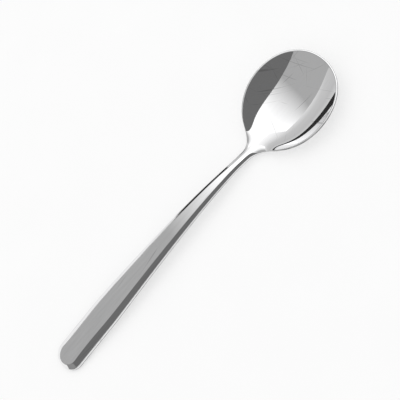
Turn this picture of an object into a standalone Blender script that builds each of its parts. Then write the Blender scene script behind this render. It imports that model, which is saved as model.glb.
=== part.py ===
"""Long-handled table spoon with a hollow handle, in polished steel.

The spoon lies on its back as on a table: +X runs from the handle end to the
tip of the bowl, +Z is up, and the XZ plane is its plane of symmetry.  Lengths
below are in millimetres along the spoon, measured from the handle end, and
are turned into metres, centred on the spoon, when the meshes are made.
"""
import bpy
import bmesh
from math import sin, cos, pi

# ---------------------------------------------------------------- dimensions
LENGTH = 190.0            # handle end to bowl tip

# handle, seen from above
END_HALF_WIDTH = 7.48     # half width of the parallel end part
END_RUN = 7.0             # length of the rounded end
END_POWER = 2.2           # squareness of the rounded end
TAPER_START = 30.0        # where the parallel part starts to narrow
NECK_X = 126.0            # narrowest place
NECK_HALF_WIDTH = 2.45
TAPER_SOFTNESS = 0.10

# handle, seen from the side (height of the widest line, the seam)
SEAM_END_Z = 1.8
SEAM_TOP_Z = 7.95
ARCH_X = 90.0             # crown of the arch
ARCH_POWER = 1.75
NECK_DROP = 0.000705      # fall of the handle from the crown to the neck
NECK_DROP_POWER = 2.3

# handle section
BEVEL_DROP_END = 2.00     # seam up to the flat top, at the handle end
BEVEL_DROP_NECK = 0.88
BEVEL_RUN_END = 3.00      # bevel width seen from above
BEVEL_RUN_NECK = 1.65
BEVEL_RUN_TIP = 1.70      # bevel width along X at the rounded end
SIDE_LAND_END = 2.35      # seam down to the underside
SIDE_LAND_NECK = 1.75
EDGE_DROP = 0.42          # rounded lower edge, height and width
EDGE_RUN = 0.50
WALL = 0.55               # thickness of the two handle shells
SEAM_GAP = 0.30           # between pieces that touch

# where the handle shells stop and the bowl piece begins
SHELL_END_X = 118.0
SHOULDER_X = SHELL_END_X + SEAM_GAP

# bowl
BOWL_HALF_WIDTH = 22.12
BOWL_WIDE_X = 165.5
BOWL_NECK_RUN = 25.7      # widest place back to the neck
BOWL_TIP_POWER = 2.1
BOWL_NECK_POWER = 0.55    # fullness of the rim's outline towards the neck
FILLET_FROM_X = 133.0     # where the neck's sides run out into the rim
FILLET_TO_X = 143.0
RIM_MID_X = 164.0
RIM_MID_Z = 9.74
RIM_SLOPE = 0.0987
RIM_SAG = 0.0026
BOWL_LOW_X = 158.0        # lowest place of the bowl's floor
BOWL_FLOOR_Z = 1.80
BOWL_METAL = 1.80         # thickness in the middle of the bowl
FLOOR_POWER = 2.1
RAMP_X = 124.0            # where the handle's top starts to run down into the bowl
RAMP_SLOPE = -0.18
BELLY_X = 118.0           # where the underside starts to run down to the bowl
BELLY_SLOPE = -0.12
BELLY_LOW_X = 158.0
REST_DEPTH = 0.25         # depth of the small flat that the bowl rests on
RIM_LAND = 0.95           # thickness of the rim
SHOULDER_FROM_X = 136.0   # where the edges climb from the neck to the rim
SHOULDER_TO_X = 145.5

# tang and its bedding, inside the handle
TANG_START_X = 80.0
TANG_HALF_WIDTH = 1.15
TANG_TOP = 0.03           # above the seam
TANG_BOTTOM = -0.66       # below the seam
BED_FROM_X = 68.0
BED_TO_X = 99.0
BED_SIDE = 1.75           # distance from the handle's outside
BED_TOP = 0.22
BED_BOTTOM = -0.82
BED_CLEAR = 0.35          # around the tang

STEEL = (0.72, 0.72, 0.73, 1.0)
BEDDING = (0.33, 0.32, 0.30, 1.0)


# ------------------------------------------------------------ shape functions
def step(a, b, x):
    t = min(1.0, max(0.0, (x - a) / (b - a)))
    return t * t * (3.0 - 2.0 * t)


def hermite(xa, za, ma, xb, zb, mb, x):
    run = xb - xa
    t = min(1.0, max(0.0, (x - xa) / run))
    t2, t3 = t * t, t * t * t
    return ((2 * t3 - 3 * t2 + 1) * za + (t3 - 2 * t2 + t) * run * ma
            + (3 * t2 - 2 * t3) * zb + (t3 - t2) * run * mb)


def handle_half_width(x):
    if x <= TAPER_START:
        return END_HALF_WIDTH
    c = TAPER_SOFTNESS
    t = min(1.0, (x - TAPER_START) / (NECK_X - TAPER_START))
    s = ((t * t + c * c) ** 0.5 - c) / ((1 + c * c) ** 0.5 - c)
    return END_HALF_WIDTH - (END_HALF_WIDTH - NECK_HALF_WIDTH) * s


def along(x):
    """0 at the handle's parallel end, 1 where the shells meet the neck."""
    return min(1.0, max(0.0, (x - 20.0) / (SHELL_END_X - 20.0)))


def bevel_drop(x):
    return BEVEL_DROP_END + (BEVEL_DROP_NECK - BEVEL_DROP_END) * along(x)


def bevel_run(x):
    return BEVEL_RUN_END + (BEVEL_RUN_NECK - BEVEL_RUN_END) * along(x)


def handle_land(x):
    return SIDE_LAND_END + (SIDE_LAND_NECK - SIDE_LAND_END) * along(x)


def seam_z(x):
    if x <= ARCH_X:
        t = (ARCH_X - x) / ARCH_X
        return SEAM_TOP_Z - (SEAM_TOP_Z - SEAM_END_Z) * t ** ARCH_POWER
    return SEAM_TOP_Z - NECK_DROP * (x - ARCH_X) ** NECK_DROP_POWER


def rim_z(x):
    d = x - RIM_MID_X
    return RIM_MID_Z + RIM_SLOPE * d - RIM_SAG * d * d


def edge_z(x):
    k = step(SHOULDER_FROM_X, SHOULDER_TO_X, x)
    return seam_z(x) * (1 - k) + rim_z(x) * k if k < 1 else rim_z(x)


def bowl_half_width(x):
    if x >= BOWL_WIDE_X:
        t = min(1.0, (x - BOWL_WIDE_X) / (LENGTH - BOWL_WIDE_X))
        return BOWL_HALF_WIDTH * (1 - t ** BOWL_TIP_POWER) ** (1 / BOWL_TIP_POWER)
    t = (BOWL_WIDE_X - x) / BOWL_NECK_RUN
    return BOWL_HALF_WIDTH * max(0.0, 1 - t * t) ** BOWL_NECK_POWER


def half_width(x):
    if x <= FILLET_FROM_X:
        return handle_half_width(x)
    if x >= FILLET_TO_X:
        return bowl_half_width(x)
    flare = (bowl_half_width(FILLET_TO_X + 0.1) - bowl_half_width(FILLET_TO_X)) / 0.1
    return hermite(FILLET_FROM_X, NECK_HALF_WIDTH, 0.0,
                   FILLET_TO_X, bowl_half_width(FILLET_TO_X), flare, x)


def bevel_fade(x):
    return 1.0 - step(120.0, 143.0, x)


def top_mid_z(x):
    """Top of the handle, then the run down into the bowl and its floor."""
    if x <= RAMP_X:
        return edge_z(x) + bevel_drop(x) * bevel_fade(x)
    if x <= BOWL_LOW_X:
        za = edge_z(RAMP_X) + bevel_drop(RAMP_X) * bevel_fade(RAMP_X)
        return hermite(RAMP_X, za, RAMP_SLOPE, BOWL_LOW_X, BOWL_FLOOR_Z, 0.0, x)
    t = (x - BOWL_LOW_X) / (LENGTH - BOWL_LOW_X)
    return BOWL_FLOOR_Z + (rim_z(LENGTH) - BOWL_FLOOR_Z) * t ** FLOOR_POWER


def side_land(x):
    k = step(128.0, 148.0, x)
    return (handle_land(x) - EDGE_DROP * bevel_fade(x)) * (1 - k) + RIM_LAND * k


def under_mid_z(x):
    """Underside along the middle."""
    if x <= BELLY_X:
        return seam_z(x) - handle_land(x)
    low = BOWL_FLOOR_Z - BOWL_METAL - REST_DEPTH
    ramp = hermite(BELLY_X, seam_z(BELLY_X) - handle_land(BELLY_X), BELLY_SLOPE, BELLY_LOW_X, low, 0.0, x)
    if x <= BELLY_LOW_X:
        return ramp
    t = (x - BELLY_LOW_X) / (LENGTH - BELLY_LOW_X)
    return low + (rim_z(LENGTH) - RIM_LAND - low) * t ** FLOOR_POWER


def top_point(x, u):
    """A point of the upper surface; u is 0 in the middle and 1 at the edge."""
    w = half_width(x)
    fade = bevel_fade(x)
    bevel = bevel_drop(x) * fade * min(1.0, (1 - u) * w / bevel_run(x))
    dish = edge_z(x) + bevel_drop(x) * fade - top_mid_z(x)
    return x, u * w, edge_z(x) + bevel - dish * (1 - u * u)


def under_point(x, u):
    w = half_width(x)
    fade = bevel_fade(x)
    low = edge_z(x) - side_land(x)
    edge = EDGE_DROP * fade * min(1.0, (1 - u) * w / EDGE_RUN)
    belly = low - EDGE_DROP * fade - under_mid_z(x)
    return x, u * w, max(0.0, low - edge - belly * (1 - u * u))


# ------------------------------------------------------------------ mesh tools
def to_scene(p):
    return ((p[0] - LENGTH / 2) * 0.001, p[1] * 0.001, p[2] * 0.001)


def half_loft(rows, cap):
    """Quads between rows of points that run along the spoon.

    cap lists, as pairs of row numbers, the strips that close the first column.
    The half mesh stays open on the plane of symmetry.
    """
    bm = bmesh.new()
    grid = [[bm.verts.new(to_scene(p)) for p in row] for row in rows]
    for a, b in zip(grid, grid[1:]):
        for j in range(len(a) - 1):
            bm.faces.new((a[j], a[j + 1], b[j + 1], b[j]))
    for (i0, i1), (k0, k1) in zip(cap, cap[1:]):
        corners = [grid[i0][0], grid[k0][0], grid[k1][0]]
        if i1 != k1:
            corners.append(grid[i1][0])
        bm.faces.new(corners)
    bmesh.ops.remove_doubles(bm, verts=bm.verts, dist=2e-6)
    bmesh.ops.dissolve_degenerate(bm, edges=bm.edges, dist=1e-6)
    bmesh.ops.recalc_face_normals(bm, faces=bm.faces)
    return bm


def add_part(name, bm, collection, material, mirrored=True):
    mesh = bpy.data.meshes.new(name)
    bm.to_mesh(mesh)
    bm.free()
    mesh.shade_smooth()
    mesh.set_sharp_from_angle(angle=0.5)
    obj = bpy.data.objects.new(name, mesh)
    if material:
        mesh.materials.append(material)
    collection.objects.link(obj)
    if mirrored:
        mirror = obj.modifiers.new("other_half", 'MIRROR')
        mirror.use_axis = (False, True, False)
        mirror.use_mirror_merge = True
        mirror.merge_threshold = 0.00001
    return obj


def make_material(name, colour, metallic, roughness):
    mat = bpy.data.materials.new(name)
    mat.use_nodes = True
    bsdf = mat.node_tree.nodes["Principled BSDF"]
    bsdf.inputs["Base Color"].default_value = colour
    bsdf.inputs["Metallic"].default_value = metallic
    bsdf.inputs["Roughness"].default_value = roughness
    return mat


def outward(bm):
    """Turn the faces of an open half loft out: its lowest face looks down."""
    bm.normal_update()
    lowest = min(bm.faces, key=lambda f: f.calc_center_median().z)
    if lowest.normal.z > 0:
        bmesh.ops.reverse_faces(bm, faces=bm.faces)


# ---------------------------------------------------------------------- pieces
def ring(x_tip, end_run, width, height, straight=22, round_steps=9):
    """One line around half of the handle: neck, side, rounded end, middle."""
    points = []
    x_end = x_tip + end_run
    for i in range(straight):
        x = SHELL_END_X + (x_end - SHELL_END_X) * i / straight
        points.append((x, width(x), height(x)))
    power = 2.0 / END_POWER
    for i in range(round_steps + 1):
        a = 0.5 * pi * (1 - i / round_steps)
        x = x_end - end_run * max(0.0, cos(a)) ** power
        y = width(x_end) * max(0.0, sin(a)) ** power
        points.append((x, y if i < round_steps else 0.0, height(x)))
    return points


def middle(points):
    return [(x, 0.0, z) for x, y, z in points]


def upper_shell(collection, material):
    gap = SEAM_GAP / 2

    def slope(x):
        return bevel_run(x) / bevel_drop(x)

    def skew(x):
        """Bevel wall thickness measured level."""
        return WALL * (1 + slope(x) ** 2) ** 0.5

    seam_out = ring(gap * 0.75, END_RUN, lambda x: handle_half_width(x) - gap * slope(x),
                    lambda x: seam_z(x) + gap)
    ridge_out = ring(BEVEL_RUN_TIP, END_RUN - 0.6, lambda x: handle_half_width(x) - bevel_run(x),
                     lambda x: seam_z(x) + bevel_drop(x))
    seam_in = ring(1.25, END_RUN - 0.6, lambda x: handle_half_width(x) - gap * slope(x) - skew(x),
                   lambda x: seam_z(x) + gap)
    ridge_in = ring(BEVEL_RUN_TIP + 0.75, END_RUN - 1.2,
                    lambda x: handle_half_width(x) - bevel_run(x) - skew(x) + WALL * slope(x),
                    lambda x: seam_z(x) + bevel_drop(x) - WALL)
    rows = [middle(ridge_out), ridge_out, seam_out, seam_in, ridge_in, middle(ridge_in)]
    bm = half_loft(rows, [(0, 5), (1, 4), (2, 3)])
    outward(bm)
    return add_part("handle_upper_shell", bm, collection, material)


def lower_shell(collection, material):
    gap = SEAM_GAP / 2

    def under(x):
        return max(0.0, seam_z(x) - handle_land(x))

    def land(x):
        return max(0.35, seam_z(x) - handle_land(x) + EDGE_DROP)

    seam_out = ring(0.0, END_RUN, handle_half_width, lambda x: seam_z(x) - gap)
    land_out = ring(0.0, END_RUN, handle_half_width, land)
    flat_out = ring(EDGE_RUN, END_RUN, lambda x: handle_half_width(x) - EDGE_RUN, under)
    seam_in = ring(WALL, END_RUN, lambda x: handle_half_width(x) - WALL, lambda x: seam_z(x) - gap)
    floor_in = ring(WALL + 0.25, END_RUN, lambda x: handle_half_width(x) - WALL - 0.25,
                    lambda x: under(x) + WALL)
    rows = [middle(flat_out), flat_out, land_out, seam_out, seam_in, floor_in, middle(floor_in)]
    bm = half_loft(rows, [(0, 6), (1, 5), (2, 4), (3, 4)])
    outward(bm)
    return add_part("handle_lower_shell", bm, collection, material)


def bar(x_from, x_to, half, top, bottom, count):
    """Rows of a flat bar that follows the handle's arch."""
    xs = [x_from + (x_to - x_from) * i / count for i in range(count + 1)]
    rows = [[(x, 0.0, seam_z(x) + top) for x in xs],
            [(x, half(x), seam_z(x) + top) for x in xs],
            [(x, half(x), seam_z(x) + bottom) for x in xs],
            [(x, 0.0, seam_z(x) + bottom) for x in xs]]
    return rows


def close_last(bm, rows):
    """Close the far end of a bar."""
    bm.verts.ensure_lookup_table()
    ends = []
    for row in rows:
        target = to_scene(row[-1])
        ends.append(min(bm.verts, key=lambda v: sum((a - b) ** 2 for a, b in zip(v.co, target))))
    bm.faces.new(ends)
    bmesh.ops.recalc_face_normals(bm, faces=bm.faces)


def bowl_and_tang(collection, material):
    steps = 7
    us = [i / steps for i in range(steps + 1)]
    xs = []
    xs += [SHOULDER_X + (133.0 - SHOULDER_X) * i / 6 for i in range(6)]
    xs += [133.0 + 13.0 * i / 11 for i in range(11)]
    xs += [146.0 + (BOWL_WIDE_X - 146.0) * i / 9 for i in range(9)]
    xs += [BOWL_WIDE_X + (LENGTH - BOWL_WIDE_X) * sin(0.5 * pi * i / 13) for i in range(14)]
    rows = [[top_point(x, u) for x in xs] for u in us]
    rows += [[under_point(x, u) for x in xs] for u in reversed(us)]
    # the tang: the same number of points on each of its sections
    tang_xs = [TANG_START_X + (SHOULDER_X - TANG_START_X) * i / 8 for i in range(9)]
    for k, u in enumerate(us):
        rows[k] = [(x, u * TANG_HALF_WIDTH, seam_z(x) + TANG_TOP) for x in tang_xs] + rows[k]
    for k, u in enumerate(reversed(us)):
        n = steps + 1 + k
        rows[n] = [(x, u * TANG_HALF_WIDTH, seam_z(x) + TANG_BOTTOM) for x in tang_xs] + rows[n]
    last = len(rows) - 1
    bm = half_loft(rows, [(k, last - k) for k in range(steps + 1)])
    outward(bm)
    return add_part("bowl_and_tang", bm, collection, material)


def tang_bedding(collection, cutters, material):
    rows = bar(BED_FROM_X, BED_TO_X, lambda x: handle_half_width(x) - BED_SIDE, BED_TOP, BED_BOTTOM, 10)
    bm = half_loft(rows, [(0, 3), (1, 2)])
    close_last(bm, rows)
    outward(bm)
    bed = add_part("tang_bedding", bm, collection, material)
    rows = bar(TANG_START_X - BED_CLEAR, BED_TO_X + 3.0, lambda x: TANG_HALF_WIDTH + BED_CLEAR,
               TANG_TOP + 2.0, TANG_BOTTOM - 2.0, 10)
    bm = half_loft(rows, [(0, 3), (1, 2)])
    close_last(bm, rows)
    outward(bm)
    slot = add_part("tang_slot_cutter", bm, cutters, None)
    slot.hide_render = True
    slot.display_type = 'WIRE'
    cut = bed.modifiers.new("tang_slot", 'BOOLEAN')
    cut.operation = 'DIFFERENCE'
    cut.solver = 'EXACT'
    cut.object = slot
    return bed


def main():
    for obj in list(bpy.data.objects):
        bpy.data.objects.remove(obj, do_unlink=True)
    parts = bpy.data.collections.new("long_handled_spoon")
    cutters = bpy.data.collections.new("spoon_cutters")
    bpy.context.scene.collection.children.link(parts)
    bpy.context.scene.collection.children.link(cutters)

    root = bpy.data.objects.new("spoon_root", None)
    parts.objects.link(root)

    pieces = [
        bowl_and_tang(parts, make_material("bowl_steel", STEEL, 1.0, 0.08)),
        upper_shell(parts, make_material("upper_shell_steel", STEEL, 1.0, 0.10)),
        lower_shell(parts, make_material("lower_shell_steel", STEEL, 1.0, 0.12)),
        tang_bedding(parts, cutters, make_material("bedding_compound", BEDDING, 0.0, 0.8)),
    ]
    for piece in pieces:
        piece.parent = root


main()
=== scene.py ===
"""Looks of the long-handled spoon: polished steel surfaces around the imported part.

Lengths in the shape functions are millimetres measured from the handle end,
as in the part's own design; meshes are turned into metres when they are made.
"""

from math import cos, pi, radians, sin

import bmesh
import bpy
import numpy as np
from mathutils import Matrix, Vector


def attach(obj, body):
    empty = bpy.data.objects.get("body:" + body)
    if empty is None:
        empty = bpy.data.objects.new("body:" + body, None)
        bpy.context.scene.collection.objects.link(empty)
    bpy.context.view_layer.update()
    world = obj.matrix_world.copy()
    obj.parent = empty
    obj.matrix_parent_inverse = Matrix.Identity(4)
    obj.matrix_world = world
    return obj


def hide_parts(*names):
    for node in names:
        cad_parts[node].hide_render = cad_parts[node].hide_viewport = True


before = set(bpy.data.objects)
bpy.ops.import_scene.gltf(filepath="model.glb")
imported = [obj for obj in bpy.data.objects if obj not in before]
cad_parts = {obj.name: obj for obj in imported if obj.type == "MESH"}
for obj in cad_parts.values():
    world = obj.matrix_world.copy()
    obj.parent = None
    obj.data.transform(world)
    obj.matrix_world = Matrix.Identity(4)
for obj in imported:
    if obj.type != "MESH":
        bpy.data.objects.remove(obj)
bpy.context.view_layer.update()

# ---------------------------------------------------------------- dimensions
LENGTH = 190.0
END_HALF_WIDTH = 7.48
END_RUN = 7.0
END_POWER = 2.2
TAPER_START = 30.0
NECK_X = 126.0
NECK_HALF_WIDTH = 2.45
TAPER_SOFTNESS = 0.10

SEAM_END_Z = 1.8
SEAM_TOP_Z = 7.95
ARCH_X = 90.0
ARCH_POWER = 1.75
NECK_DROP = 0.000705
NECK_DROP_POWER = 2.3

BEVEL_DROP_END = 2.00
BEVEL_DROP_NECK = 0.88
BEVEL_RUN_END = 3.00
BEVEL_RUN_NECK = 1.65
BEVEL_RUN_TIP = 1.70
SIDE_LAND_END = 2.35
SIDE_LAND_NECK = 1.75
EDGE_DROP = 0.42
EDGE_RUN = 0.50
WALL = 0.55

SHELL_END_X = 118.18
SHOULDER_X = 118.22
SEAM_HAIR = 0.05          # the joint line between the two handle shells

BOWL_HALF_WIDTH = 22.12
BOWL_WIDE_X = 165.5
BOWL_NECK_RUN = 25.7
BOWL_TIP_POWER = 2.1
BOWL_NECK_POWER = 0.55
FILLET_FROM_X = 133.0
FILLET_TO_X = 143.0
RIM_MID_X = 164.0
RIM_MID_Z = 9.735
RIM_SLOPE = 0.0987
RIM_SAG = 0.0026
BOWL_LOW_X = 158.0
BOWL_FLOOR_Z = 1.80
BOWL_METAL = 1.80
FLOOR_POWER = 2.1
RAMP_X = 124.0
RAMP_SLOPE = -0.18
BELLY_X = 118.0
BELLY_SLOPE = -0.12
BELLY_LOW_X = 158.0
REST_DEPTH = 0.25
RIM_LAND = 0.95
RIM_TOP = 0.70            # flat top of the rim, seen from above
SHOULDER_FROM_X = 136.0
SHOULDER_TO_X = 145.5

TANG_START_X = 80.0
TANG_HALF_WIDTH = 1.15
TANG_TOP = 0.03
TANG_BOTTOM = -0.66


# ------------------------------------------------------------ shape functions
def step(a, b, x):
    t = np.clip((x - a) / (b - a), 0.0, 1.0)
    return t * t * (3.0 - 2.0 * t)


def hermite(xa, za, ma, xb, zb, mb, x):
    run = xb - xa
    t = np.clip((x - xa) / run, 0.0, 1.0)
    t2, t3 = t * t, t * t * t
    return ((2 * t3 - 3 * t2 + 1) * za + (t3 - 2 * t2 + t) * run * ma
            + (3 * t2 - 2 * t3) * zb + (t3 - t2) * run * mb)


def handle_half_width(x):
    c = TAPER_SOFTNESS
    t = np.clip((x - TAPER_START) / (NECK_X - TAPER_START), 0.0, 1.0)
    s = (np.sqrt(t * t + c * c) - c) / ((1 + c * c) ** 0.5 - c)
    return END_HALF_WIDTH - (END_HALF_WIDTH - NECK_HALF_WIDTH) * s


def along(x):
    return np.clip((x - 20.0) / (118.0 - 20.0), 0.0, 1.0)


def bevel_drop(x):
    return BEVEL_DROP_END + (BEVEL_DROP_NECK - BEVEL_DROP_END) * along(x)


def bevel_run(x):
    return BEVEL_RUN_END + (BEVEL_RUN_NECK - BEVEL_RUN_END) * along(x)


def handle_land(x):
    return SIDE_LAND_END + (SIDE_LAND_NECK - SIDE_LAND_END) * along(x)


def seam_z(x):
    x = np.asarray(x, float)
    t = np.maximum(0.0, (ARCH_X - x) / ARCH_X)
    arch = SEAM_TOP_Z - (SEAM_TOP_Z - SEAM_END_Z) * t ** ARCH_POWER
    return arch - NECK_DROP * np.maximum(0.0, x - ARCH_X) ** NECK_DROP_POWER


def rim_z(x):
    d = x - RIM_MID_X
    return RIM_MID_Z + RIM_SLOPE * d - RIM_SAG * d * d


def edge_z(x):
    k = step(SHOULDER_FROM_X, SHOULDER_TO_X, x)
    return seam_z(x) * (1 - k) + rim_z(x) * k


def bowl_half_width(x):
    t = np.clip((x - BOWL_WIDE_X) / (LENGTH - BOWL_WIDE_X), 0.0, 1.0)
    far = (1 - t ** BOWL_TIP_POWER) ** (1 / BOWL_TIP_POWER)
    t = np.maximum(0.0, (BOWL_WIDE_X - x) / BOWL_NECK_RUN)
    near = np.maximum(0.0, 1 - t * t) ** BOWL_NECK_POWER
    return BOWL_HALF_WIDTH * np.where(x >= BOWL_WIDE_X, far, near)


def half_width(x):
    a, b = FILLET_FROM_X, FILLET_TO_X
    wb = float(bowl_half_width(np.float64(b)))
    flare = (float(bowl_half_width(np.float64(b + 0.1))) - wb) / 0.1
    mid = hermite(a, NECK_HALF_WIDTH, 0.0, b, wb, flare, x)
    return np.where(x <= a, handle_half_width(x), np.where(x >= b, bowl_half_width(x), mid))


def bevel_fade(x):
    return 1.0 - step(120.0, 143.0, x)


def top_mid_z(x):
    ridge = edge_z(x) + bevel_drop(x) * bevel_fade(x)
    r = np.float64(RAMP_X)
    za = float(edge_z(r) + bevel_drop(r) * bevel_fade(r))
    ramp = hermite(RAMP_X, za, RAMP_SLOPE, BOWL_LOW_X, BOWL_FLOOR_Z, 0.0, x)
    t = np.maximum(0.0, (x - BOWL_LOW_X) / (LENGTH - BOWL_LOW_X))
    floor = BOWL_FLOOR_Z + (rim_z(LENGTH) - BOWL_FLOOR_Z) * t ** FLOOR_POWER
    return np.where(x <= RAMP_X, ridge, np.where(x <= BOWL_LOW_X, ramp, floor))


def side_land(x):
    k = step(128.0, 148.0, x)
    return (handle_land(x) - EDGE_DROP * bevel_fade(x)) * (1 - k) + RIM_LAND * k


def under_mid_z(x):
    b = np.float64(BELLY_X)
    low = BOWL_FLOOR_Z - BOWL_METAL - REST_DEPTH
    ramp = hermite(BELLY_X, float(seam_z(b) - handle_land(b)), BELLY_SLOPE, BELLY_LOW_X, low, 0.0, x)
    t = np.maximum(0.0, (x - BELLY_LOW_X) / (LENGTH - BELLY_LOW_X))
    far = low + (rim_z(LENGTH) - RIM_LAND - low) * t ** FLOOR_POWER
    return np.where(x <= BELLY_X, seam_z(x) - handle_land(x), np.where(x <= BELLY_LOW_X, ramp, far))


# Long runs of the bowl and neck are evened out, so that a mirror finish shows
# no kinks where two of the curves above meet.
GRID_STEP = 0.05
GRID_X = np.arange(100.0, LENGTH + 1e-9, GRID_STEP)


def evened(func, spread):
    raw = func(GRID_X)
    n = int(4 * spread / GRID_STEP)
    k = np.arange(-n, n + 1) * GRID_STEP
    weight = np.exp(-0.5 * (k / spread) ** 2)
    weight /= weight.sum()
    soft = np.convolve(np.pad(raw, n, mode="reflect", reflect_type="odd"), weight, mode="valid")
    keep = step(172.0, 184.0, GRID_X)
    return soft * (1 - keep) + raw * keep


WIDTH_GRID = evened(half_width, 1.1)
EDGE_GRID = evened(edge_z, 1.6)
MID_GRID = evened(top_mid_z, 2.6)
UNDER_GRID = evened(under_mid_z, 2.2)


def grid(values, x):
    return np.interp(x, GRID_X, values)


def soft_floor(z, r):
    """z where it is well above 0, and never below 0."""
    return 0.5 * (z + np.sqrt(z * z + r * r))


def bowl_top(x, y):
    w = np.maximum(grid(WIDTH_GRID, x), 1e-6)
    u = np.clip(np.abs(y) / w, 0.0, 1.0)
    e = grid(EDGE_GRID, x)
    lift = bevel_drop(x) * bevel_fade(x)
    bevel = lift * np.minimum(1.0, (1 - u) * w / bevel_run(x))
    dish = e + lift - grid(MID_GRID, x)
    return e + bevel - dish * (1 - u * u)


def bowl_under(x, y):
    w = np.maximum(grid(WIDTH_GRID, x), 1e-6)
    u = np.clip(np.abs(y) / w, 0.0, 1.0)
    low = grid(EDGE_GRID, x) - side_land(x)
    drop = EDGE_DROP * bevel_fade(x)
    edge = drop * np.minimum(1.0, (1 - u) * w / EDGE_RUN)
    belly = low - drop - grid(UNDER_GRID, x)
    return soft_floor(low - edge - belly * (1 - u * u), 0.05)


# ------------------------------------------------------------------ mesh tools
def to_scene(x, y, z):
    return ((x - LENGTH / 2) * 0.001, y * 0.001, z * 0.001)


def rounded(d, z, at, spread):
    """Points of the line (d, z) at these lengths along it, its corners rounded off."""
    length = np.concatenate([[0.0], np.cumsum(np.hypot(np.diff(d), np.diff(z)))])
    tau = np.linspace(-2.6, 2.6, 23)
    weight = np.exp(-0.5 * tau * tau)
    weight /= weight.sum()
    t = at[:, None] + tau[None, :] * spread[:, None]
    return np.interp(t, length, d) @ weight, np.interp(t, length, z) @ weight


def arc_length(d, z):
    return np.concatenate([[0.0], np.cumsum(np.hypot(np.diff(d), np.diff(z)))])


def loft(name, columns, marks, first_cap=True):
    """A closed body from half sections that run along the spoon, mirrored on Y.

    marks says for each point of a section how much it belongs to a worn edge; the steel darkens these edges in colour
    as painted edge shade.
    """
    bm = bmesh.new()
    # vertex layer "edge": rougher worn edges, and painted edge shade darkening their colour
    edge_wear_shade = bm.verts.layers.float.new("edge")
    rows = []
    for column, mark in zip(columns, marks):
        rows.append([bm.verts.new(to_scene(*p)) for p in column])
        for vert, value in zip(rows[-1], mark):
            vert[edge_wear_shade] = float(value)
    for a, b in zip(rows, rows[1:]):
        for j in range(len(a) - 1):
            bm.faces.new((a[j], a[j + 1], b[j + 1], b[j]))
    if first_cap:
        bm.faces.new(rows[0])
    bmesh.ops.mirror(bm, geom=bm.verts[:] + bm.edges[:] + bm.faces[:], matrix=Matrix.Identity(4),
                     merge_dist=2e-7, axis='Y')
    bmesh.ops.remove_doubles(bm, verts=bm.verts, dist=2e-7)
    bmesh.ops.dissolve_degenerate(bm, edges=bm.edges, dist=1e-7)
    bmesh.ops.recalc_face_normals(bm, faces=bm.faces)
    mesh = bpy.data.meshes.new(name)
    bm.to_mesh(mesh)
    bm.free()
    mesh.shade_smooth()
    mesh.set_sharp_from_angle(angle=radians(38))
    obj = bpy.data.objects.new(name, mesh)
    bpy.context.scene.collection.objects.link(obj)
    return obj


# ------------------------------------------------------------------------ bowl
CORNER = 0.15             # how far the polished-off corners of the bowl reach


def peak(at, t, spread):
    return np.exp(-0.5 * ((at - t) / spread) ** 2)


def band(at, a, b):
    return ((at >= a) & (at <= b)).astype(float)


def bowl_outline():
    xs = [SHOULDER_X + (132.0 - SHOULDER_X) * i / 18 for i in range(18)]
    xs += [132.0 + 18.0 * i / 54 for i in range(54)]
    xs += [150.0 + (BOWL_WIDE_X - 150.0) * i / 30 for i in range(30)]
    points = [(x, float(grid(WIDTH_GRID, x))) for x in xs]
    power = 2.0 / BOWL_TIP_POWER
    n = 96
    for i in range(n + 1):
        a = 0.5 * pi * i / n
        x = BOWL_WIDE_X + (LENGTH - BOWL_WIDE_X) * sin(a) ** power
        y = BOWL_HALF_WIDTH * max(0.0, cos(a)) ** power
        if x < 180.0:
            k = float(step(174.0, 180.0, x))
            y = y * k + float(grid(WIDTH_GRID, x)) * (1 - k)
        points.append((x, y if i < n else 0.0))
    return points


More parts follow.
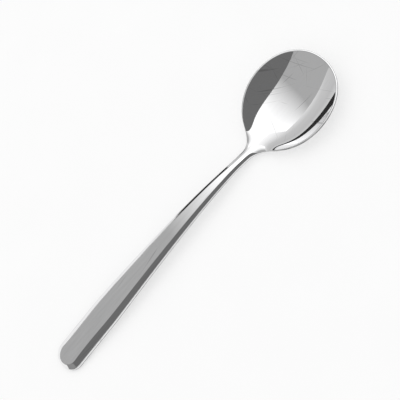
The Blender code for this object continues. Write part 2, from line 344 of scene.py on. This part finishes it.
def bowl_column(ox, oy):
    mx = ox - 16.0 * (max(0.0, ox - 140.0) / 50.0) ** 2
    reach = float(np.hypot(ox - mx, oy))
    ex, ey = (ox - mx) / reach, oy / reach
    land = RIM_TOP * float(step(136.0, 150.0, ox))
    inner = 1.0 - land / reach
    near = min(2.2, 0.8 * reach)

    d_top = np.concatenate([np.linspace(0.0, reach - near, 90)[:-1], np.linspace(reach - near, reach, 160)])
    rho = np.minimum(1.0, d_top / (reach * inner))
    z_top = bowl_top(mx + rho * reach * ex, rho * reach * ey)
    z_side = np.linspace(z_top[-1], z_top[-1] - float(side_land(np.float64(ox))), 50)[1:]
    d_under = d_top[::-1][1:]
    z_under = bowl_under(mx + d_under * ex, d_under * ey)
    d = np.concatenate([d_top, np.full(len(z_side), reach), d_under])
    z = np.concatenate([z_top, z_side, z_under])
    length = arc_length(d, z)
    i_b = len(d_top) - 1
    i_c = i_b + len(z_side)
    t_b, t_c = length[i_b], length[i_c]
    t_near = np.interp(reach - near, d_top, length[:i_b + 1])
    t_far = length[i_c] + np.interp(near, reach - d_under, length[i_c + 1:] - length[i_c])

    inside = np.interp(np.linspace(0.0, 1.0, 45)[:-1] ** 0.92 * (reach - near), d_top, length[:i_b + 1])
    below = np.linspace(t_far, length[-1], 27)[1:]
    at = np.concatenate([inside, np.linspace(t_near, t_b, 23)[:-1], np.linspace(t_b, t_c, 12)[:-1],
                         np.linspace(t_c, t_far, 16), below])
    spread = np.full(len(at), CORNER)
    spread[:len(inside)] = 1e-6
    spread[-len(below):] = 1e-6
    dd, zz = rounded(d, z, at, spread)
    # rim edges, rim side and the neck's lower foot are marked for painted shade giving dark outlines, with rougher
    # worn edges
    edge_wear_shade = peak(at, t_b - land, 0.10) * 0.6 + peak(at, t_b, 0.14) + band(at, t_b, t_c + 0.3)
    edge_wear_shade = np.minimum(1.0, edge_wear_shade) * float(step(138.0, 148.0, ox))
    foot = np.clip((at - (t_c - 0.75)) / 0.25, 0.0, 1.0) * band(at, t_c - 1.0, t_c + 0.5)
    edge_wear_shade = np.maximum(edge_wear_shade, 0.8 * foot * (1.0 - float(step(134.0, 144.0, ox))))
    column = [(mx + a * ex, a * ey, b) for a, b in zip(dd, zz)]
    x0, _, z0 = column[0]
    column[0] = (x0, 0.0, z0)
    x1, _, z1 = column[-1]
    column[-1] = (x1, 0.0, z1)
    if oy == 0.0:
        column = [(x, 0.0, z) for x, _, z in column]
    parts = (len(inside) + 22, len(inside) + 33)
    return column, edge_wear_shade, parts


def make_bowl():
    columns, marks = [], []
    for ox, oy in bowl_outline():
        column, edge_wear_shade, (i_b, i_c) = bowl_column(ox, oy)
        columns.append(column)
        marks.append(edge_wear_shade)
    first = columns[0]
    widest = max(p[1] for p in first)
    tang = []
    for k in range(9):
        x = TANG_START_X + (SHOULDER_X - TANG_START_X) * k / 8
        base = float(seam_z(x))
        section = []
        for i, p in enumerate(first):
            y = TANG_HALF_WIDTH * min(1.0, p[1] / widest)
            if i < i_b:
                z = TANG_TOP
            elif i <= i_c:
                z = TANG_TOP + (TANG_BOTTOM - TANG_TOP) * (i - i_b) / (i_c - i_b)
                y = TANG_HALF_WIDTH
            else:
                z = TANG_BOTTOM
            section.append((x, y, base + z))
        tang.append(section)
    return loft("bowl_with_tang", tang + columns, [[0.0] * len(first)] * len(tang) + marks)


# ---------------------------------------------------------------------- handle
def handle_outline():
    xs = [SHELL_END_X + (END_RUN - SHELL_END_X) * i / 110 for i in range(110)]
    points = [(x, float(handle_half_width(np.float64(x)))) for x in xs]
    power = 2.0 / END_POWER
    n = 56
    for i in range(n + 1):
        a = 0.5 * pi * (1 - i / n)
        x = END_RUN - END_RUN * max(0.0, cos(a)) ** power
        y = END_HALF_WIDTH * max(0.0, sin(a)) ** power
        points.append((x, y if i < n else 0.0))
    return points


def handle_top(x):
    return seam_z(x) + bevel_drop(x)


def handle_under(x):
    return soft_floor(seam_z(x) - handle_land(x), 0.04)


def handle_column(ox, oy):
    """Outer line of the handle from the top middle to the bottom middle."""
    mx = ox + 6.0 * (max(0.0, 20.0 - ox) / 20.0) ** 2
    reach = float(np.hypot(ox - mx, oy))
    ex, ey = (ox - mx) / reach, oy / reach
    run = float(np.hypot(bevel_run(np.float64(ox)) * ey, BEVEL_RUN_TIP * ex))
    d_a = reach - run
    z_b = float(seam_z(ox))
    z_c = max(0.35, z_b - float(handle_land(np.float64(ox))) + EDGE_DROP)
    d_d = reach - EDGE_RUN

    d_flat = np.linspace(0.0, d_a, 120)
    z_flat = handle_top(mx + d_flat * ex)
    d_bevel = np.linspace(d_a, reach, 80)[1:]
    z_bevel = z_flat[-1] + (z_b - z_flat[-1]) * (d_bevel - d_a) / run
    z_side = np.linspace(z_b, z_c, 40)[1:]
    z_d = float(handle_under(mx + d_d * ex))
    k = np.linspace(0.0, 1.0, 20)[1:]
    d_edge, z_edge = reach + (d_d - reach) * k, z_c + (z_d - z_c) * k
    d_low = np.linspace(d_d, 0.0, 100)[1:]
    z_low = handle_under(mx + d_low * ex)
    d = np.concatenate([d_flat, d_bevel, np.full(len(z_side), reach), d_edge, d_low])
    z = np.concatenate([z_flat, z_bevel, z_side, z_edge, z_low])
    length = arc_length(d, z)
    i_a = len(d_flat) - 1
    i_b = i_a + len(d_bevel)
    i_c = i_b + len(z_side)
    i_d = i_c + len(d_edge)
    t_a, t_b, t_c, t_d = length[i_a], length[i_b], length[i_c], length[i_d]
    ra = min(0.7, 0.4 * (t_b - t_a))
    rb = min(0.7, 0.4 * (t_b - t_a), 0.4 * (t_c - t_b))
    rc = min(0.5, 0.4 * (t_c - t_b))
    half = SEAM_HAIR / 2
    upper = np.concatenate([
        np.linspace(0.0, t_a - ra, 14)[:-1],
        np.linspace(t_a - ra, t_a + ra, 21)[:-1],
        np.linspace(t_a + ra, t_b - rb, 7)[:-1],
        np.linspace(t_b - rb, t_b - half, 12)])
    lower = np.concatenate([
        np.linspace(t_b + half, t_b + rb, 12)[:-1],
        np.linspace(t_b + rb, t_c - rc, 5)[:-1],
        np.linspace(t_c - rc, t_d + 0.5, 19)[:-1],
        np.linspace(t_d + 0.5, length[-1], 12)])
    result, edge_wear_shade = [], []
    for at in (upper, lower):
        spread = np.where(np.abs(at - t_a) <= ra + 1e-9, 0.22 * ra / 0.7,
                          np.where(np.abs(at - t_b) <= rb + 1e-9, 0.24 * rb / 0.7,
                                   np.where((at > t_c - rc) & (at < t_d + 0.5), 0.16, 1e-6)))
        dd, zz = rounded(d, z, at, spread)
        result.append([(mx + a * ex, a * ey, b) for a, b in zip(dd, zz)])
        # lower side and bottom edge of the handle marked for painted shade (dark outline) and rougher worn edges
        edge_wear_shade.append(np.clip((at - (t_c - 0.85)) / 0.25, 0.0, 1.0) * band(at, t_c - 1.0, t_d + 0.5))
    frame_of = {"mx": mx, "reach": reach, "ex": ex, "ey": ey, "run": run, "z_b": z_b}
    return result, edge_wear_shade, frame_of


def on_axis(column, oy):
    if oy == 0.0:
        return [(x, 0.0, z) for x, _, z in column]
    return column


def make_handle():
    uppers, lowers, upper_marks, lower_marks = [], [], [], []
    for ox, oy in handle_outline():
        (up, low), edge_wear_shade, f = handle_column(ox, oy)
        mx, reach, ex, ey = f["mx"], f["reach"], f["ex"], f["ey"]

        def at(d, z):
            return (mx + d * ex, d * ey, z)

        x, _, z = up[0]
        up[0] = (x, 0.0, z)
        x, _, z = low[-1]
        low[-1] = (x, 0.0, z)
        wall = 1.05 if reach > 3.2 else 0.8
        d_in = max(0.4, reach - f["run"] - 0.3)
        top_in = float(handle_top(mx + d_in * ex)) - WALL
        up_in = [at(reach - wall, up[-1][2]), at(d_in, top_in), at(0.0, float(handle_top(mx)) - WALL)]
        d_fl = reach - WALL - 0.25
        low_in = [at(0.0, float(handle_under(mx)) + WALL), at(d_fl, float(handle_under(mx + d_fl * ex)) + WALL),
                  at(reach - WALL, low[0][2])]
        uppers.append(on_axis(up + up_in, oy))
        lowers.append(on_axis(low_in + low, oy))
        upper_marks.append(list(edge_wear_shade[0]) + [0.0] * len(up_in))
        lower_marks.append([0.0] * len(low_in) + list(edge_wear_shade[1]))
    return (loft("handle_top_shell", uppers, upper_marks),
            loft("handle_bottom_shell", lowers, lower_marks))


# ------------------------------------------------------------------- materials
class Nodes:
    """Small helper to lay out a node tree."""

    def __init__(self, tree):
        self.tree = tree

    def add(self, kind, **values):
        node = self.tree.nodes.new(kind)
        for key, value in values.items():
            if hasattr(node, key):
                setattr(node, key, value)
            else:
                node.inputs[key.replace("_", " ")].default_value = value
        return node

    def link(self, a, b):
        self.tree.links.new(a, b)

    def coords(self, scale, turn=0.0):
        tex = self.add("ShaderNodeTexCoord")
        spin = self.add("ShaderNodeMapping")
        spin.inputs["Rotation"].default_value = (0.0, 0.0, turn)
        self.link(tex.outputs["Object"], spin.inputs["Vector"])
        stretch = self.add("ShaderNodeMapping")
        stretch.inputs["Scale"].default_value = scale
        self.link(spin.outputs["Vector"], stretch.inputs["Vector"])
        return stretch.outputs["Vector"]

    def noise(self, vector, scale, detail=2.0, rough=0.5, distort=0.0):
        node = self.add("ShaderNodeTexNoise")
        node.inputs["Scale"].default_value = scale
        node.inputs["Detail"].default_value = detail
        node.inputs["Roughness"].default_value = rough
        node.inputs["Distortion"].default_value = distort
        self.link(vector, node.inputs["Vector"])
        return node.outputs["Fac"]

    def span(self, value, a, b, c, d):
        node = self.add("ShaderNodeMapRange")
        node.inputs["From Min"].default_value = a
        node.inputs["From Max"].default_value = b
        node.inputs["To Min"].default_value = c
        node.inputs["To Max"].default_value = d
        self.link(value, node.inputs["Value"])
        return node.outputs["Result"]

    def math(self, operation, a, b=None):
        node = self.add("ShaderNodeMath")
        node.operation = operation
        for k, v in enumerate((a, b)):
            if v is None:
                continue
            if isinstance(v, (int, float)):
                node.inputs[k].default_value = v
            else:
                self.link(v, node.inputs[k])
        return node.outputs["Value"]

    def mix(self, fac, a, b):
        node = self.add("ShaderNodeMix")
        node.data_type = 'RGBA'
        node.inputs["A"].default_value = a
        node.inputs["B"].default_value = b
        self.link(fac, node.inputs["Factor"])
        return node.outputs["Result"]


def hairlines(n, turns, length, width, low, high):
    """Thin random scratches in a few directions."""
    total = None
    for k, turn in enumerate(turns):
        vector = n.coords((1.0 / length, 1.0 / width, 1.0 / length), radians(turn))
        value = n.span(n.noise(vector, 1.0, 2.0, 0.4, 0.15), low, high, 0.0, 1.0)
        total = value if total is None else n.math("MAXIMUM", total, value)
    return total


def steel(name, colour, base_rough, streak, scratch_turns):
    mat = bpy.data.materials.new(name)
    mat.use_nodes = True
    n = Nodes(mat.node_tree)
    bsdf = mat.node_tree.nodes["Principled BSDF"]
    bsdf.inputs["Metallic"].default_value = 1.0

    smudge = n.span(n.noise(n.coords((1, 1, 1)), 60.0, 4.0, 0.62, 0.4), 0.48, 0.78, 0.0, 1.0)
    lines = n.noise(n.coords((9.0, 3200.0, 3200.0)), 1.0, 4.0, 0.6)
    fine = n.noise(n.coords((26.0, 900.0, 900.0)), 1.0, 3.0, 0.6)
    scratch = hairlines(n, scratch_turns, 0.030, 0.0008, 0.69, 0.75)

    rough = n.math("ADD", n.math("MULTIPLY", smudge, 0.030), base_rough)
    rough = n.math("ADD", rough, n.math("MULTIPLY", n.span(lines, 0.3, 0.7, 0.0, 1.0), 0.030 * streak))
    rough = n.math("ADD", rough, n.math("MULTIPLY", scratch, 0.03))
    geo = n.add("ShaderNodeNewGeometry")
    wear = n.span(geo.outputs["Pointiness"], 0.53, 0.60, 0.0, 1.0)
    rough = n.math("ADD", rough, n.math("MULTIPLY", wear, 0.05))
    # edge marks: rougher worn edges, and further down their colour darkened as painted edge shade
    edge = n.add("ShaderNodeAttribute", attribute_type='GEOMETRY', attribute_name="edge").outputs["Fac"]
    edge = n.math("MULTIPLY", edge, n.span(n.noise(n.coords((1, 1, 1)), 260.0, 3.0), 0.3, 0.6, 0.7, 1.0))
    rough = n.math("ADD", rough, n.math("MULTIPLY", edge, 0.22))
    n.link(rough, bsdf.inputs["Roughness"])

    tone = n.math("ADD", n.math("MULTIPLY", n.span(fine, 0.35, 0.65, 0.0, 1.0), 0.5 * streak),
                  n.math("MULTIPLY", scratch, 2.4))
    # base colour darkened by streaks and scratches, and by the edge marks as painted shade along the edges
    tone = n.math("MAXIMUM", n.math("MULTIPLY", tone, 0.16), edge)
    dark = tuple(c * 0.28 for c in colour[:3]) + (1.0,)
    n.link(n.mix(tone, colour, dark), bsdf.inputs["Base Color"])

    height = n.math("ADD", n.math("MULTIPLY", lines, 0.25 * streak), n.math("MULTIPLY", fine, 0.35 * streak))
    height = n.math("SUBTRACT", height, n.math("MULTIPLY", scratch, 0.15))
    bump = n.add("ShaderNodeBump")
    bump.inputs["Strength"].default_value = 0.35
    bump.inputs["Distance"].default_value = 0.000012
    n.link(height, bump.inputs["Height"])
    n.link(bump.outputs["Normal"], bsdf.inputs["Normal"])
    return mat


def compound(name):
    mat = bpy.data.materials.new(name)
    mat.use_nodes = True
    n = Nodes(mat.node_tree)
    bsdf = mat.node_tree.nodes["Principled BSDF"]
    bsdf.inputs["Roughness"].default_value = 0.85
    grains = n.noise(n.coords((1, 1, 1)), 1400.0, 5.0, 0.65)
    n.link(n.mix(n.span(grains, 0.3, 0.7, 0.0, 1.0), (0.22, 0.21, 0.20, 1), (0.42, 0.41, 0.38, 1)),
           bsdf.inputs["Base Color"])
    bump = n.add("ShaderNodeBump")
    bump.inputs["Strength"].default_value = 0.6
    bump.inputs["Distance"].default_value = 0.0001
    n.link(grains, bump.inputs["Height"])
    n.link(bump.outputs["Normal"], bsdf.inputs["Normal"])
    return mat


STEEL = (0.88, 0.88, 0.885, 1.0)
bowl_steel = steel("bowl_polish", STEEL, 0.020, 0.25, (12.0, -38.0, 71.0, 38.0, -65.0))
handle_steel = steel("handle_polish", STEEL, 0.028, 1.0, (4.0, -7.0))

bowl = make_bowl()
upper, lower = make_handle()
for piece, node, slot, mat in ((bowl, "bowl_and_tang", "bowl_steel", bowl_steel),
                               (upper, "handle_upper_shell", "handle_steel", handle_steel),
                               (lower, "handle_lower_shell", "handle_steel", handle_steel)):
    piece.data.materials.append(mat)
    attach(piece, "root")
    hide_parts(node)
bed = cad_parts["tang_bedding"]
bed.data.materials.clear()
bed.data.materials.append(compound("bedding_compound"))

# ----------------------------------------------------------------------- studio
scene = bpy.context.scene


def flat_mesh(name, points):
    mesh = bpy.data.meshes.new(name)
    mesh.from_pydata([to_scene(*p) for p in points], [], [list(range(len(points)))])
    obj = bpy.data.objects.new(name, mesh)
    scene.collection.objects.link(obj)
    return obj


def floor():
    obj = flat_mesh("floor", [(-2905, -3000, -0.05), (3095, -3000, -0.05), (3095, 3000, -0.05), (-2905, 3000, -0.05)])
    mat = bpy.data.materials.new("pale_floor")
    mat.use_nodes = True
    n = Nodes(mat.node_tree)
    bsdf = mat.node_tree.nodes["Principled BSDF"]
    bsdf.inputs["Roughness"].default_value = 0.9
    bsdf.inputs["Specular IOR Level"].default_value = 0.0
    bsdf.inputs["Emission Color"].default_value = (1.0, 1.0, 1.0, 1.0)
    bsdf.inputs["Emission Strength"].default_value = 0.50
    grain = n.noise(n.coords((1, 1, 1)), 30.0, 3.0)
    n.link(n.mix(grain, (0.44, 0.44, 0.44, 1), (0.46, 0.46, 0.46, 1)), bsdf.inputs["Base Color"])
    obj.data.materials.append(mat)


def panel(name, points, grey, fade=None):
    """A plain rectangular studio panel outside the picture, seen in reflections.

    With fade = (x0, x1) it goes softly to white between those two places.
    """
    obj = flat_mesh(name, points)
    obj.visible_camera = False
    obj.visible_diffuse = False
    obj.visible_shadow = False
    mat = bpy.data.materials.new(name)
    mat.use_nodes = True
    tree = mat.node_tree
    tree.nodes.remove(tree.nodes["Principled BSDF"])
    n = Nodes(tree)
    emit = n.add("ShaderNodeEmission")
    if fade is None:
        emit.inputs["Color"].default_value = (grey, grey, grey, 1.0)
    else:
        tex = n.add("ShaderNodeTexCoord")
        split = n.add("ShaderNodeSeparateXYZ")
        n.link(tex.outputs["Object"], split.inputs["Vector"])
        far = n.span(split.outputs["X"], (fade[0] - 95) * 0.001, (fade[1] - 95) * 0.001, 0.0, 1.0)
        n.link(n.mix(far, (grey, grey, grey, 1), (1.25, 1.25, 1.25, 1)), emit.inputs["Color"])
    n.link(emit.outputs["Emission"], tree.nodes["Material Output"].inputs["Surface"])
    mat.cycles.emission_sampling = 'NONE'
    obj.data.materials.append(mat)


def overhead(name, x0, x1, y0, y1, z, grey, fade=None):
    panel(name, [(x0, y0, z), (x1, y0, z), (x1, y1, z), (x0, y1, z)], grey, fade)


def upright(name, x0, x1, y, z0, z1, grey):
    panel(name, [(x0, y, z0), (x1, y, z0), (x1, y, z1), (x0, y, z1)], grey)


floor()
overhead("grey_panel", -600, 260, -100, 600, 430, 0.44, (20, 230))
overhead("dark_panel", -600, 700, -600, -100, 430, 0.16)
upright("dark_flag", -400, 420, 800, 40, 140, 0.03)
panel("end_panel", [(-600, -600, 5), (-600, 600, 5), (-600, 600, 430), (-600, -600, 430)], 0.28)

world = bpy.data.worlds.new("studio")
scene.world = world
world.use_nodes = True
w = Nodes(world.node_tree)
sky = w.add("ShaderNodeTexCoord")
axes = w.add("ShaderNodeSeparateXYZ")
w.link(sky.outputs["Generated"], axes.inputs["Vector"])
ramp = w.add("ShaderNodeValToRGB")
bar = ramp.color_ramp
SKY = ((0.0, 0.88), (0.10, 0.74), (0.26, 0.56), (0.45, 0.62), (0.70, 0.98), (1.0, 1.35))
while len(bar.elements) < len(SKY):
    bar.elements.new(0.5)
for element, (height, grey) in zip(bar.elements, SKY):
    element.position = height
    element.color = (grey,) * 3 + (1,)
w.link(axes.outputs["Z"], ramp.inputs["Fac"])
w.link(ramp.outputs["Color"], world.node_tree.nodes["Background"].inputs["Color"])

key = bpy.data.lights.new("softbox", 'AREA')
key.shape = 'RECTANGLE'
key.size, key.size_y = 1.2, 0.9
key.energy = 2.0
key_obj = bpy.data.objects.new("softbox", key)
scene.collection.objects.link(key_obj)
key_obj.location = (0.10, 0.35, 1.30)
key_obj.rotation_euler = (Vector((0.0, 0.0, 0.0)) - key_obj.location).to_track_quat('-Z', 'Y').to_euler()

# ----------------------------------------------------------------------- camera
CAMERA_AT = Vector(to_scene(134.470, -202.957, 411.404))
CAMERA_TO = Vector(to_scene(103.3747, 1.7022, 5.0))
CAMERA_ROLL = radians(-56.1941)
CAMERA_LENS = 87.4217

camera = bpy.data.cameras.new("camera")
camera.sensor_width = 36.0
camera.sensor_fit = 'HORIZONTAL'
camera.lens = CAMERA_LENS
camera.clip_start = 0.01
camera.clip_end = 50.0
camera_obj = bpy.data.objects.new("camera", camera)
scene.collection.objects.link(camera_obj)
forward = (CAMERA_TO - CAMERA_AT).normalized()
right = forward.cross(Vector((0, 0, 1))).normalized()
up = right.cross(forward)
right, up = (cos(CAMERA_ROLL) * right + sin(CAMERA_ROLL) * up,
             -sin(CAMERA_ROLL) * right + cos(CAMERA_ROLL) * up)
turn = Matrix((right, up, -forward)).transposed()
camera_obj.matrix_world = Matrix.Translation(CAMERA_AT) @ turn.to_4x4()
scene.camera = camera_obj

scene.view_settings.view_transform = 'Standard'
scene.view_settings.look = 'None'
